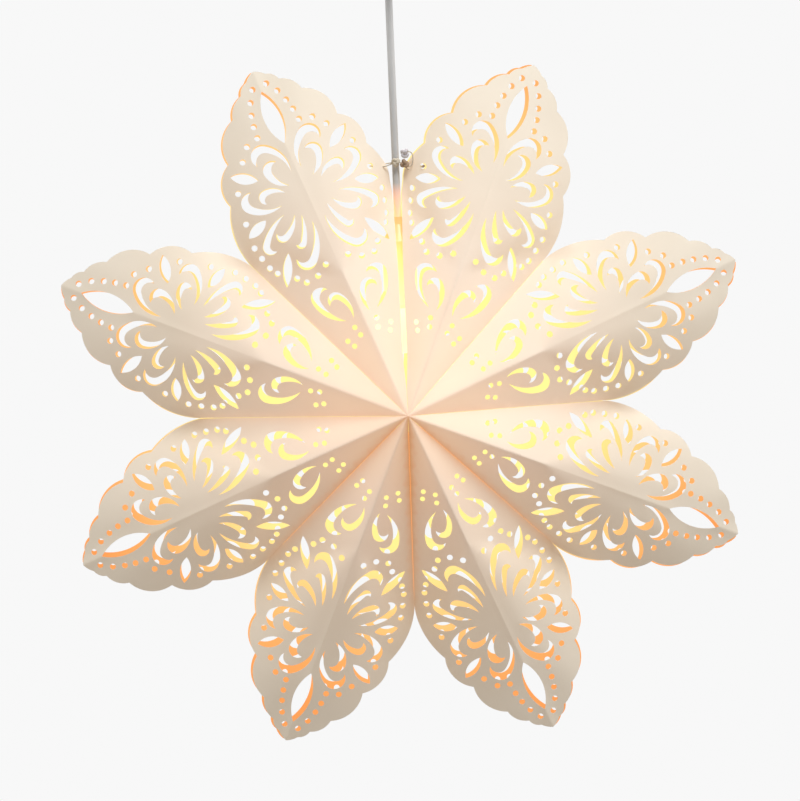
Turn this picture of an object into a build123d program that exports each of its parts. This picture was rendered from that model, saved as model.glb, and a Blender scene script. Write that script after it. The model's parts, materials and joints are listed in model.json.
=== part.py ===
from build123d import *
import math
import os

# Folded paper star pendant: eight die-cut petals, lamp, cord and ceiling fitting.
# Millimetres, +Z up. The origin is on the ceiling, at the middle of the strap's two
# screw holes. The star's front faces -Y, its lamp and its cord lie on the Z axis.

# ---------------------------------------------------------------- driving dimensions
# Star
petal_count = 8
tip_radius = 300.0            # star centre to a petal's tip
notch_radius = 168.8          # star centre to the notch between two petals
apex_depth = 83.0             # middle of the star to its front apex
tip_depth = 2.5               # middle of the star to the front face of a tip
rim_part = 1.2                # middle of the star to the inside of a scalloped rim
card_depth = 0.6              # card, measured along the star's axis
bend_start = 120.0            # on the ridge: the panel bends outward from here
flange_height = 6.0           # glue flange turned in along a valley
flange_card = 0.5
flange_start = 14.0           # flanges begin this far from the star's axis
tip_margin = 2.0              # the facets run on past the tip before they are cut out

# Scalloped outline of half a petal: along the petal's axis, away from its ridge
side_bow = (184.0, 66.8)
scallop_cusps = [(207.5, 59.5), (239.5, 47.5), (271.0, 30.0), (286.0, 16.5), (294.2, 8.4)]
scallop_bow = [6.3, 6.5, 2.8, 1.6, 0.7]      # how far each scallop stands out of its chord
first_bend = (205.0, 66.5)    # the panel's bends end here, past the rim
outer_bends = [(246.0, 56.0), (286.0, 30.0)]

# Cut-outs of half a petal
# Comma: pointed tail, crown of the outer edge, pointed beak, thickness at the crown
commas = [
    [(212.5, 4.5), (241.5, 15.0), (227.5, 27.0), 6.4],
    [(203.0, 10.0), (219.5, 25.0), (225.0, 12.0), 6.4],
    [(198.5, 15.5), (208.0, 31.5), (196.5, 32.5), 5.4],
    [(190.5, 22.0), (197.0, 49.5), (211.0, 40.5), 6.2],
    [(183.0, 23.5), (167.1, 49.4), (158.5, 40.5), 5.6],
    [(179.5, 16.0), (162.8, 29.2), (171.5, 35.0), 5.2],
    [(177.0, 11.0), (153.5, 17.0), (156.5, 24.5), 4.8],
    [(169.0, 5.5), (136.2, 16.0), (146.0, 29.0), 6.4],
    [(85.0, 12.8), (108.0, 32.0), (113.5, 16.5), 6.2],
    [(85.0, 7.0), (107.0, 9.0), (100.5, 20.0), 5.2],
]
comma_lean = 0.15             # inner edge's crown lies back towards the tail, per height of the crown
# Almond: inner point, outer point, width
almonds = [
    [(217.0, 31.0), (229.5, 50.5), 9.0],
    [(185.0, 38.5), (177.5, 57.0), 8.4],
    [(153.5, 33.0), (128.5, 45.5), 7.6],
]
ridge_almond = [(235.5, 0.0), (282.0, 0.0), 15.0]
small_dot_radius = 2.1
small_dots = [(64.8, 15.4), (70.4, 18.6), (71.0, 7.4), (78.0, 9.2)]
dot_radius = 2.5
dots = [
    (131.6, 35.0), (125.4, 29.2), (126.6, 18.8), (132.4, 9.6),
    (142.0, 47.8), (148.5, 51.8), (158.2, 54.4), (168.4, 56.4), (189.0, 54.4), (214.4, 50.0),
    (236.0, 36.4), (246.0, 28.4), (248.8, 18.0), (258.4, 17.0), (267.6, 15.0), (277.4, 11.6),
    (286.6, 6.0),
]

# Open seam between the two upper petals: distance from the centre, half its width
seam_start = 19.0
seam_waist = (45.0, 1.8)
seam_knee = (120.0, 2.2)
seam_mouth_half = 3.8
seam_mouth_length = 14.0      # the mouth runs on past the notch

# Cord and its tie string
cord_radius = 3.0
cord_gap = 0.3                # between cord pieces that turn against each other
bore_clearance = 0.3
string_radius = 0.5
tie_height = 203.0            # above the star's centre
tie_hole = dots[8]            # the string goes through this dot of both upper petals
string_bend = 1.6
# Knot lumps: place beside the cord's front, and radius
knot_lumps = [
    [(0.0, 3.3, 0.0), 3.6],
    [(6.0, 2.4, -2.0), 3.6],
    [(6.8, 2.4, 4.8), 4.0],
]

# Lamp, heights above the star's centre
cap_top = 158.0
cap_neck_radius = 5.5
cap_neck_length = 6.0
cap_cone = 14.0
cap_length = 32.0
holder_radius = 14.0
holder_wall = 1.5
sleeve_length = 29.0
sleeve_thread = 8.0
core_length = 9.0
core_recess = 1.0             # core's top below the end of the sleeve's thread
core_seat = 3.0               # sleeve's narrow bore runs this far past its thread
contact_thickness = 1.0
contact_radius = 2.5
core_lead = (5.5, 2.5)
core_screw = (5.5, -3.0)
core_screw_radius = 1.3
core_screw_head = (2.2, 1.6)
cord_in_cap = 12.0
grip_screw_radius = 1.5
grip_screw_length = 4.5
shell_length = 18.0
shell_wall = 0.6
globe_radius = 22.5
bulb_length = 78.0
bulb_thread_radius = 6.9
bulb_thread_length = 16.0
bulb_clearance = 0.3
collar_length = 21.0
collar_neck_radius = 10.5
collar_neck_length = 8.0
collar_floor = 3.0
insulator_length = 1.6
insulator_top_radius = 4.0
tip_contact_length = 1.2
tip_contact_radius = 3.0
bulb_wall = 1.2
led_board_radius = 13.5
led_board_thickness = 1.6

# Ceiling fitting
star_drop = 432.0             # ceiling to the star's centre
strap_clearance = 3.4         # strap's ends to the cup's inside
strap_width = 18.0
strap_thickness = 1.5
strap_ear = 14.0
strap_hole_spacing = 60.0
strap_hole_radius = 2.6
cup_radius = 45.0
cup_height = 58.0
cup_wall = 1.6
cup_rounding = 16.0
cup_screw_radius = 2.0
cup_screw_drop = 8.0
cup_screw_head = 3.6
block_size = (22.0, 16.0, 14.0)
block_rounding = 1.5
terminal_offset = 5.0
terminal_radius = 2.5
lead_radius = 1.2
terminal_screw_radius = 1.3
gland_thread_radius = 5.0
gland_radius = 9.0
gland_length = 18.0
gland_nut_flats = 14.0
gland_nut_height = 4.0
gland_mouth_radius = 6.8
mouth_flare = 17.5            # degrees
gland_rounding = 1.5
gland_screw_radius = 1.5
swing_drop = 8.0              # cup's bottom to the front-and-back pivot
pivot_step = 7.0              # from there to the side-to-side pivot
gland_bore_rise = 8.0         # gland's thread above the cup's bottom
gland_screw_drop = 3.0
gland_screw_length = 7.5
tail_top_drop = 34.0
ear_screw_radius = 1.6
cup_screw_head_height = 2.2
block_screw_radius = 1.5
terminal_screw_spread = 4.0
terminal_head = (2.1, 1.2)
terminal_wall = 1.0
lead_offset = 1.4
lead_reach = 6.0
cord_split = 290.0            # above the star's centre: the cord's upper and lower lengths meet

# ---------------------------------------------------------------- worked-out values
centre_z = -star_drop
half_angle = 180.0 / petal_count
valley = math.radians(half_angle)          # a petal's valleys lie this far from its ridge
notch = (notch_radius * math.cos(valley), notch_radius * math.sin(valley))
petal_angles = [half_angle + 2 * half_angle * index for index in range(petal_count)]
seam_right = petal_count // 4 - 1         # the upper petal right of the seam
seam_left = petal_count // 4              # the upper petal left of the seam

# The valley on the petal's upper side: its direction, and the way into the petal
valley_direction = Vector(math.cos(valley), 0, math.sin(valley))
valley_inward = Vector(math.sin(valley), 0, -math.cos(valley))
seam_end = notch_radius + seam_mouth_length
seam_edge = [(seam_start, 0), seam_waist, seam_knee, (notch_radius, seam_mouth_half)]
seam_edge += [(seam_end, seam_mouth_half), (seam_end, -seam_mouth_half), (seam_start, -seam_mouth_half)]
seam_outline = [valley_direction * distance + valley_inward * aside for distance, aside in seam_edge]

strap_length = 2 * (cup_radius - cup_wall - strap_clearance)
cup_bottom = -cup_height
gland_bottom = cup_bottom - gland_length
swing_z = cup_bottom - swing_drop
sway_z = swing_z - pivot_step
split_z = centre_z + cord_split
cap_top_z = centre_z + cap_top
cap_bottom_z = cap_top_z - cap_length
sleeve_bottom_z = cap_bottom_z - sleeve_length
core_top_z = cap_bottom_z + sleeve_thread - core_recess
core_bottom_z = core_top_z - core_length
shell_radius = bulb_thread_radius + bulb_clearance
tip_z = core_bottom_z - contact_thickness - bulb_clearance
bulb_bottom_z = tip_z - bulb_length
globe_z = bulb_bottom_z + globe_radius
thread_top_z = tip_z - tip_contact_length - insulator_length
thread_bottom_z = thread_top_z - bulb_thread_length
collar_bottom_z = thread_bottom_z - collar_length
collar_radius = math.sqrt(globe_radius**2 - (collar_bottom_z - globe_z) ** 2)

stand = (Align.CENTER, Align.CENTER, Align.MIN)
hang = (Align.CENTER, Align.CENTER, Align.MAX)
os.makedirs("parts", exist_ok=True)


def save(builder, name):
    builder.part.label = name
    export_step(builder.part, "parts/" + name + ".step")


def bowed(start, end, bow):
    """Middle point of an arc from start to end that stands out by bow on its left."""
    length = math.dist(start, end)
    normal = (-(end[1] - start[1]) / length, (end[0] - start[0]) / length)
    return ((start[0] + end[0]) / 2 + bow * normal[0], (start[1] + end[1]) / 2 + bow * normal[1])


def cut_comma(tail, crown, beak, thickness):
    """A comma: both edges run tail, crown, beak, level with the chord at their crowns."""
    along = Vector(beak[0] - tail[0], beak[1] - tail[1]).normalized()
    outer = Vector(*crown)
    rise = (outer - Vector(*tail)) - along * along.dot(outer - Vector(*tail))
    inner = outer - rise.normalized() * thickness - along * (comma_lean * rise.length)
    with BuildLine() as edge:
        TangentArc(outer, tail, tangent=-along)
        TangentArc(outer, beak, tangent=along)
        TangentArc(inner, tail, tangent=-along)
        TangentArc(inner, beak, tangent=along)
    make_face(edge.edges(), mode=Mode.SUBTRACT)


def cut_almond(start, end, width):
    with BuildLine() as edge:
        ThreePointArc(start, bowed(start, end, width / 2), end)
        ThreePointArc(start, bowed(start, end, -width / 2), end)
    make_face(edge.edges(), mode=Mode.SUBTRACT)


def front_point(along, away, depth):
    """A point of the petal lying along +X, at a depth in front of the star's middle."""
    return (along, -depth, away)


# ---------------------------------------------------------------- petals
# One half of a petal: flat facets from the ridge to the rim, cut to the outline.
ridge_fall = (apex_depth - tip_depth) / tip_radius
ridge_bend = front_point(bend_start, 0, apex_depth - ridge_fall * bend_start)
apex = front_point(0, 0, apex_depth)
fan = [front_point(*point, card_depth) for point in (notch, first_bend)]
fan += [front_point(*point, rim_part + card_depth) for point in outer_bends]
fan.append(front_point(tip_radius + tip_margin, 0, tip_depth))

facets = [(apex, ridge_bend, fan[0])]
facets += [(ridge_bend, end, start) for start, end in zip(fan[:-1], fan[1:])]
facet_faces = [make_face(Polyline(*corners, close=True).edges()).face() for corners in facets]

with BuildPart() as half_sheet:
    extrude(facet_faces, amount=card_depth, dir=(0, 1, 0))
    with BuildSketch(Plane.XZ) as half_outline:
        with BuildLine():
            corners = [(tip_radius, 0)] + scallop_cusps[::-1]
            Polyline((tip_radius, 0), (0, 0), notch)
            ThreePointArc(notch, side_bow, scallop_cusps[0])
            for start, end, bow in zip(corners[:-1], corners[1:], scallop_bow[::-1]):
                ThreePointArc(start, bowed(start, end, -bow), end)
        make_face()
        for comma in commas:
            cut_comma(*comma)
        for almond in almonds + [ridge_almond]:
            cut_almond(*almond)
        with Locations(*small_dots):
            Circle(small_dot_radius, mode=Mode.SUBTRACT)
        with Locations(*dots):
            Circle(dot_radius, mode=Mode.SUBTRACT)
    extrude(amount=apex_depth + 1, both=True, mode=Mode.INTERSECT)

# Glue flange turned in along the valley, seen square to the valley's upright plane.
valley_plane = Plane(origin=(0, 0, 0), x_dir=valley_direction, z_dir=valley_inward)
apex_inside = apex_depth - card_depth
flange_end = notch_radius * (1 - flange_height / apex_inside)
flange_top = apex_inside * (1 - flange_start / notch_radius)

with BuildPart() as full_sheet:
    add(half_sheet.part)
    with BuildSketch(valley_plane):
        with BuildLine():
            Polyline(
                (flange_start, flange_top + card_depth / 2),
                (notch_radius, card_depth / 2),
                (notch_radius, 0),
                (flange_end, 0),
                (flange_start, flange_top - flange_height),
                close=True,
            )
        make_face()
    extrude(amount=flange_card)
    mirror(about=Plane.XY)

# Beside the open seam the card is cut back along a narrow wedge and has no flange.
with BuildPart() as seam_sheet:
    add(full_sheet.part)
    with BuildSketch(Plane.XZ):
        with BuildLine():
            Polyline(*[(point.X, point.Z) for point in seam_outline], close=True)
        make_face()
    extrude(amount=apex_depth + 1, both=True, mode=Mode.SUBTRACT)

star_centre = Location((0, 0, centre_z))
for index, angle in enumerate(petal_angles):
    with BuildPart() as front_petal:
        with Locations(star_centre * Location((0, 0, 0), (0, -angle, 0))):
            if index == seam_right:
                add(seam_sheet.part)
            elif index == seam_left:
                add(mirror(seam_sheet.part, about=Plane.XY, mode=Mode.PRIVATE))
            else:
                add(full_sheet.part)
    save(front_petal, f"front_petal_{index + 1}")
    with BuildPart() as back_petal:
        add(mirror(front_petal.part, about=Plane.XZ, mode=Mode.PRIVATE))
    save(back_petal, f"back_petal_{index + 1}")


# ---------------------------------------------------------------- tie string
def front_face_depth(along, away):
    """Depth of a petal's front face at a point of its plan."""
    for corners in facets:
        (x1, y1, z1), (x2, y2, z2), (x3, y3, z3) = corners
        area = (x2 - x1) * (z3 - z1) - (x3 - x1) * (z2 - z1)
        second = ((along - x1) * (z3 - z1) - (x3 - x1) * (away - z1)) / area
        third = ((x2 - x1) * (away - z1) - (along - x1) * (z2 - z1)) / area
        if min(second, third, 1 - second - third) >= 0:
            return -(y1 + second * (y2 - y1) + third * (y3 - y1))
    return card_depth


upper_angle = math.radians(petal_angles[seam_right])
hole_x = tie_hole[0] * math.cos(upper_angle) - tie_hole[1] * math.sin(upper_angle)
hole_z = centre_z + tie_hole[0] * math.sin(upper_angle) + tie_hole[1] * math.cos(upper_angle)
hole_y = front_face_depth(*tie_hole) + 2 * string_radius + string_bend
tie_z = centre_z + tie_height
string_y = cord_radius + string_radius

with BuildPart() as tie_string:
    with BuildLine() as string_path:
        FilletPolyline(
            (0, -string_y, tie_z),
            (hole_x, -hole_y, hole_z),
            (hole_x, hole_y, hole_z),
            (0, string_y, tie_z),
            (-hole_x, hole_y, hole_z),
            (-hole_x, -hole_y, hole_z),
            radius=string_bend,
            close=True,
        )
    with BuildSketch(Plane(origin=string_path.line @ 0, z_dir=string_path.line % 0)):
        Circle(string_radius)
    sweep()
    for (x, y, z), radius in knot_lumps:
        with Locations((x, -string_y - y, tie_z + z)):
            Sphere(radius)
save(tie_string, "tie_string")


# ---------------------------------------------------------------- lamp holder
with BuildPart() as holder_cap:
    with BuildSketch(Plane.XZ):
        with BuildLine():
            Polyline(
                (cord_radius + bore_clearance, cap_top_z),
                (cap_neck_radius, cap_top_z),
                (cap_neck_radius, cap_top_z - cap_neck_length),
                (holder_radius, cap_top_z - cap_neck_length - cap_cone),
                (holder_radius, cap_bottom_z),
                (holder_radius - holder_wall, cap_bottom_z),
                (holder_radius - holder_wall, cap_top_z - cap_neck_length - cap_cone),
                (cap_neck_radius, cap_top_z - cap_neck_length - 2 * holder_wall),
                (cord_radius + bore_clearance, cap_top_z - cap_neck_length - 2 * holder_wall),
                close=True,
            )
        make_face()
    revolve(axis=Axis.Z)
    with BuildSketch(Plane.YZ):
        with Locations((0, cap_top_z - cap_neck_length / 2)):
            Circle(grip_screw_radius)
    extrude(amount=holder_radius, mode=Mode.SUBTRACT)
save(holder_cap, "holder_cap")

with BuildPart() as cord_grip_screw:
    with BuildSketch(Plane.YZ.offset(cord_radius)):
        with Locations((0, cap_top_z - cap_neck_length / 2)):
            Circle(grip_screw_radius)
    extrude(amount=grip_screw_length)
save(cord_grip_screw, "cord_grip_screw")

thread_radius = holder_radius - holder_wall
core_radius = thread_radius - holder_wall
with BuildPart() as holder_sleeve:
    with BuildSketch(Plane.XZ):
        with BuildLine():
            Polyline(
                (core_radius, cap_bottom_z + sleeve_thread),
                (thread_radius, cap_bottom_z + sleeve_thread),
                (thread_radius, cap_bottom_z),
                (holder_radius, cap_bottom_z),
                (holder_radius, sleeve_bottom_z),
                (thread_radius, sleeve_bottom_z),
                (thread_radius, cap_bottom_z - core_seat),
                (core_radius, cap_bottom_z - core_seat),
                close=True,
            )
        make_face()
    revolve(axis=Axis.Z)
save(holder_sleeve, "holder_sleeve")

with BuildPart() as holder_core:
    with BuildSketch(Plane.XY.offset(core_bottom_z)):
        Circle(core_radius)
        for side in (-1, 1):
            with Locations((side * core_lead[0], core_lead[1])):
                Circle(lead_radius, mode=Mode.SUBTRACT)
            with Locations((side * core_screw[0], core_screw[1])):
                Circle(core_screw_radius, mode=Mode.SUBTRACT)
    extrude(amount=core_length)
save(holder_core, "holder_core")

with BuildPart() as core_screws:
    for side in (-1, 1):
        with Locations((side * core_screw[0], core_screw[1], core_top_z)):
            Cylinder(core_screw_head[0], core_screw_head[1], align=stand)
            Cylinder(core_screw_radius, core_length / 2, align=hang)
save(core_screws, "core_screws")

with BuildPart() as screw_shell:
    with BuildSketch(Plane.XY.offset(core_bottom_z)):
        Circle(shell_radius + shell_wall)
        Circle(shell_radius, mode=Mode.SUBTRACT)
    extrude(amount=-shell_length)
save(screw_shell, "screw_shell")

with BuildPart() as centre_contact:
    with Locations((0, 0, core_bottom_z)):
        Cylinder(contact_radius, contact_thickness, align=hang)
save(centre_contact, "centre_contact")

cord_end_z = cap_top_z - cord_in_cap
with BuildPart() as holder_leads:
    for side in (-1, 1):
        with BuildLine() as lead_path:
            FilletPolyline(
                (side * lead_offset, 0, cord_end_z),
                (side * lead_offset, 0, cord_end_z - lead_reach / 2),
                (side * core_lead[0], core_lead[1], core_top_z + lead_reach / 2),
                (side * core_lead[0], core_lead[1], core_top_z - lead_reach / 2),
                radius=lead_radius,
            )
        with BuildSketch(Plane(origin=lead_path.line @ 0, z_dir=lead_path.line % 0)):
            Circle(lead_radius)
        sweep()
save(holder_leads, "holder_leads")


# ---------------------------------------------------------------- bulb
with BuildPart() as bulb_globe:
    with Locations((0, 0, globe_z)):
        Sphere(globe_radius)
        Sphere(globe_radius - bulb_wall, mode=Mode.SUBTRACT)
    split(bisect_by=Plane.XY.offset(collar_bottom_z), keep=Keep.BOTTOM)
save(bulb_globe, "bulb_globe")

with BuildPart() as bulb_collar:
    with BuildSketch(Plane.XZ):
        with BuildLine():
            Polyline(
                (0, thread_bottom_z),
                (collar_neck_radius, thread_bottom_z),
                (collar_neck_radius, thread_bottom_z - collar_neck_length),
                (collar_radius, collar_bottom_z + collar_floor),
                (collar_radius, collar_bottom_z),
                (0, collar_bottom_z),
                close=True,
            )
        make_face()
    revolve(axis=Axis.Z)
    with BuildSketch(Plane.XY.offset(collar_bottom_z + collar_floor)):
        Circle(collar_neck_radius - 2 * bulb_wall)
    extrude(amount=collar_length - collar_floor - 2 * bulb_wall, mode=Mode.SUBTRACT)
save(bulb_collar, "bulb_collar")

with BuildPart() as led_board:
    with Locations((0, 0, collar_bottom_z)):
        Cylinder(led_board_radius, led_board_thickness, align=hang)
save(led_board, "led_board")

with BuildPart() as bulb_screw_cap:
    with Locations((0, 0, thread_bottom_z)):
        Cylinder(bulb_thread_radius, bulb_thread_length, align=stand)
        Cylinder(bulb_thread_radius - bulb_wall, bulb_thread_length, align=stand, mode=Mode.SUBTRACT)
save(bulb_screw_cap, "bulb_screw_cap")

with BuildPart() as bulb_insulator:
    with Locations((0, 0, thread_top_z)):
        Cone(bulb_thread_radius, insulator_top_radius, insulator_length, align=stand)
save(bulb_insulator, "bulb_insulator")

with BuildPart() as bulb_tip_contact:
    with Locations((0, 0, thread_top_z + insulator_length)):
        Cylinder(tip_contact_radius, tip_contact_length, align=stand)
save(bulb_tip_contact, "bulb_tip_contact")


# ---------------------------------------------------------------- cord
# The hanging cord is straight. It pivots in the ceiling fitting's flared mouth, first
# front to back, then side to side, so its ends there are rounded.
def round_cord(name, top_z, bottom_z, rounded):
    with BuildPart() as cord_length:
        with Locations((0, 0, bottom_z)):
            Cylinder(cord_radius, top_z - bottom_z, align=stand)
        if rounded:
            with Locations((0, 0, top_z)):
                Sphere(cord_radius)
    save(cord_length, name)


round_cord("cord_tail", -tail_top_drop, swing_z + cord_radius + cord_gap, False)
round_cord("cord_neck", swing_z, sway_z + cord_radius + cord_gap, True)
round_cord("upper_cord", sway_z, split_z + cord_gap / 2, True)
round_cord("lower_cord", split_z - cord_gap / 2, cord_end_z, False)


# ---------------------------------------------------------------- ceiling fitting
with BuildPart() as ceiling_strap:
    with BuildSketch(Plane.XY):
        Rectangle(strap_length, strap_width)
        with Locations((-strap_hole_spacing / 2, 0), (strap_hole_spacing / 2, 0)):
            Circle(strap_hole_radius, mode=Mode.SUBTRACT)
        Circle(block_screw_radius, mode=Mode.SUBTRACT)
    extrude(amount=-strap_thickness)
    for side in (-1, 1):
        with Locations((side * (strap_length - strap_thickness) / 2, 0, 0)):
            Box(strap_thickness, strap_width, strap_ear, align=hang)
    with Locations(Location((0, 0, -cup_screw_drop), (0, 90, 0))):
        Cylinder(ear_screw_radius, strap_length + 1, mode=Mode.SUBTRACT)
save(ceiling_strap, "ceiling_strap")

with BuildPart() as ceiling_cup:
    Cylinder(cup_radius, cup_height, align=hang)
    fillet(ceiling_cup.edges().filter_by(GeomType.CIRCLE).sort_by(Axis.Z)[0], cup_rounding)
    offset(amount=-cup_wall, openings=ceiling_cup.faces().sort_by(Axis.Z)[-1])
    with Locations((0, 0, cup_bottom)):
        Cylinder(gland_thread_radius, 3 * cup_wall, mode=Mode.SUBTRACT)
    with Locations(Location((0, 0, -cup_screw_drop), (0, 90, 0))):
        Cylinder(cup_screw_radius, 2 * cup_radius + 1, mode=Mode.SUBTRACT)
save(ceiling_cup, "ceiling_cup")

with BuildPart() as cup_screws:
    for side in (-1, 1):
        with BuildSketch(Plane.YZ.offset(side * cup_radius)):
            with Locations((0, -cup_screw_drop)):
                Circle(cup_screw_head)
        extrude(amount=side * cup_screw_head_height)
        with BuildSketch(Plane.YZ.offset(side * cup_radius)):
            with Locations((0, -cup_screw_drop)):
                Circle(ear_screw_radius)
        extrude(amount=side * (strap_length / 2 - strap_thickness - cup_radius))
save(cup_screws, "cup_screws")

block_top = -strap_thickness
block_bottom = block_top - block_size[2]
terminal_z = block_top - block_size[2] / 2
terminal_sides = (-terminal_offset, terminal_offset)
screw_points = [(x, y) for x in terminal_sides for y in (-terminal_screw_spread, terminal_screw_spread)]

with BuildPart() as terminal_block:
    with Locations((0, 0, block_top)):
        Box(*block_size, align=hang)
    fillet(terminal_block.edges().filter_by(Axis.Z), block_rounding)
    with Locations(*[Location((x, 0, terminal_z), (90, 0, 0)) for x in terminal_sides]):
        Cylinder(terminal_radius, block_size[1], mode=Mode.SUBTRACT)
    with Locations(*[(x, y, block_bottom) for x, y in screw_points]):
        Cylinder(terminal_screw_radius, block_size[2], mode=Mode.SUBTRACT)
    with Locations((0, 0, block_top)):
        Cylinder(block_screw_radius, 3 * block_size[2], mode=Mode.SUBTRACT)
save(terminal_block, "terminal_block")

with BuildPart() as terminal_tubes:
    for x in terminal_sides:
        with Locations(Location((x, 0, terminal_z), (90, 0, 0))):
            Cylinder(terminal_radius, block_size[1] - 2 * terminal_wall)
            Cylinder(lead_radius, block_size[1], mode=Mode.SUBTRACT)
    with Locations(*[(x, y, terminal_z) for x, y in screw_points]):
        Cylinder(terminal_screw_radius, 2 * terminal_radius, align=hang, mode=Mode.SUBTRACT)
save(terminal_tubes, "terminal_tubes")

with BuildPart() as terminal_screws:
    with Locations(*[(x, y, block_bottom) for x, y in screw_points]):
        Cylinder(terminal_head[0], terminal_head[1], align=hang)
        Cylinder(terminal_screw_radius, terminal_z - lead_radius - block_bottom, align=stand)
save(terminal_screws, "terminal_screws")

with BuildPart() as block_screw:
    with Locations((0, 0, block_bottom)):
        Cylinder(2 * block_screw_radius, terminal_head[1], align=hang)
        Cylinder(block_screw_radius, block_size[2] + strap_thickness, align=stand)
save(block_screw, "block_screw")

with BuildPart() as ceiling_leads:
    for side in (-1, 1):
        with BuildLine() as lead_path:
            FilletPolyline(
                (side * terminal_offset, -lead_radius, terminal_z),
                (side * terminal_offset, -block_size[1] / 2 - lead_reach, terminal_z),
                (side * terminal_offset, -block_size[1] / 2 - lead_reach, block_bottom - lead_reach / 2),
                (side * lead_offset, 0, -tail_top_drop + lead_reach),
                (side * lead_offset, 0, -tail_top_drop),
                radius=2 * lead_radius,
            )
        with BuildSketch(Plane(origin=lead_path.line @ 0, z_dir=lead_path.line % 0)):
            Circle(lead_radius)
        sweep()
save(ceiling_leads, "ceiling_leads")

bore_radius = cord_radius + bore_clearance
mouth_length = (gland_mouth_radius - bore_radius) / math.tan(math.radians(mouth_flare))
with BuildPart() as cord_gland:
    with BuildSketch(Plane.XZ):
        with BuildLine():
            Polyline(
                (bore_radius, cup_bottom + gland_bore_rise),
                (gland_thread_radius, cup_bottom + gland_bore_rise),
                (gland_thread_radius, cup_bottom),
                (gland_radius, cup_bottom),
                (gland_radius, gland_bottom),
                (gland_mouth_radius, gland_bottom),
                (bore_radius, gland_bottom + mouth_length),
                close=True,
            )
        make_face()
    revolve(axis=Axis.Z)
    mouth_edges = cord_gland.edges().filter_by(GeomType.CIRCLE).group_by(Axis.Z)[0]
    fillet(mouth_edges.sort_by(SortBy.RADIUS)[-1], gland_rounding)
    with BuildSketch(Plane.XZ):
        with Locations((0, cup_bottom - gland_screw_drop)):
            Circle(gland_screw_radius)
    extrude(amount=-2 * gland_radius, mode=Mode.SUBTRACT)
save(cord_gland, "cord_gland")

with BuildPart() as gland_screw:
    with BuildSketch(Plane.XZ.offset(-cord_radius)):
        with Locations((0, cup_bottom - gland_screw_drop)):
            Circle(gland_screw_radius)
    extrude(amount=-gland_screw_length)
save(gland_screw, "gland_screw")

with BuildPart() as gland_nut:
    with BuildSketch(Plane.XY.offset(cup_bottom + cup_wall)):
        RegularPolygon(gland_nut_flats / 2, 6, major_radius=False)
        Circle(gland_thread_radius, mode=Mode.SUBTRACT)
    extrude(amount=gland_nut_height)
save(gland_nut, "gland_nut")
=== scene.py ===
import json
import math
import bpy
import numpy as np
from mathutils import Matrix, Vector, noise
from mathutils.geometry import delaunay_2d_cdt


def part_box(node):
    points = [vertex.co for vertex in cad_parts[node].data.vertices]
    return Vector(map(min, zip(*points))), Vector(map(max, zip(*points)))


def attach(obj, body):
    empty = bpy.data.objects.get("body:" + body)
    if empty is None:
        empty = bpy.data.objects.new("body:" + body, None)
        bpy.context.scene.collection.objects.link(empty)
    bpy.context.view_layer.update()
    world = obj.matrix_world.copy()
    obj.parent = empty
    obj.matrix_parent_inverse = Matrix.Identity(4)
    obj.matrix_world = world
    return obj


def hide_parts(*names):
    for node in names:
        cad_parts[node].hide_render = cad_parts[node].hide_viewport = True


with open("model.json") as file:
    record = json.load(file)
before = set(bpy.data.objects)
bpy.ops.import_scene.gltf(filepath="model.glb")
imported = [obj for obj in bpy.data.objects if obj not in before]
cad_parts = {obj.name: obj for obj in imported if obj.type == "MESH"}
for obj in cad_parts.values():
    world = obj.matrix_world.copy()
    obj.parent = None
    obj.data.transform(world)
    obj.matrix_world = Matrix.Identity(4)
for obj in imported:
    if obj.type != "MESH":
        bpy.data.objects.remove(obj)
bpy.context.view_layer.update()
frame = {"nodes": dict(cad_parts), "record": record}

# Folded paper star pendant, in metres. Sizes of the paper are given in millimetres.
MM = 0.001

# ---------------------------------------------------------------- sizes
petal_count = 8
half_angle = 180.0 / petal_count
tip_radius = 300.0
notch_radius = 168.8
apex_depth = 83.0
tip_depth = 2.5
rim_depth = 1.8
notch_depth = 0.6
bend_start = 120.0
card = 0.5
flange_height = 6.0
flange_start = 14.0
flange_end_gap = 2.0          # a flange stops this far before the notch
flange_steps = 24
flange_sink = 0.4 * card      # a flange starts this far below its valley's outside
flange_top = 0.05             # and its upper edge this share of its height further down
flange_room = 0.8             # it takes at most this share of the room to the star's middle
valley_gap = 0.12             # card edge to the middle of a valley
gap_reach = 3.0               # how far into the card that gap pushes its points
seam_gap_reach = 12.0         # and the wider gap of the open seam
ridge_rounding = 0.4
crease_gain = 2.4             # the outer half's fall beside its ridge, against the even fan
sheet_gap = 0.25              # middle of the star to the inside of a sheet
wave = 0.7                    # unevenness of the card
wave_size = (45.0, 30.0)      # along and away from the ridge
wave_fade = 16.0              # the wave fades over this distance to a valley
wave_start = 40.0             # and over this one to the star's axis
wave_growth_start = 150.0     # further out it grows, to twice as much over this span
wave_growth_span = 100.0
wave_seed = 7.31
ripple = 0.15
ripple_size = 14.0
ripple_seed = 3.17
ripple_seed_start = 50
fold_glow = 2.6               # the painted glow along a fold fades this far from a valley
fold_glow_end = 1.25          # and is gone this many notch radii from the star's axis
shade_reach = 3.4             # the shade in a lower valley fades this far from it
shade_end = 1.4               # and is gone this many notch radii from the star's axis
shade_middle = 0.55           # shade of a half petal that faces neither up nor down
shade_turn = 0.65             # and how much more or less it is where one does
shade_most = 0.8
glow_rise = 18.0              # the lamp hangs above the star's centre
panel_light = 1.12            # share of the lamp's light through the inner panels
valley_loss = 0.22            # and how much less comes through beside a valley
ridge_loss = 0.2              # and on a ridge
ridge_zone = 0.12             # the ridge's part of the way from it to a valley
inner_light_end = 150.0       # from here out the light comes through evenly
inner_light_fade = 60.0
crease_angle = 38.0           # degrees between faces that show as a sharp crease
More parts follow.
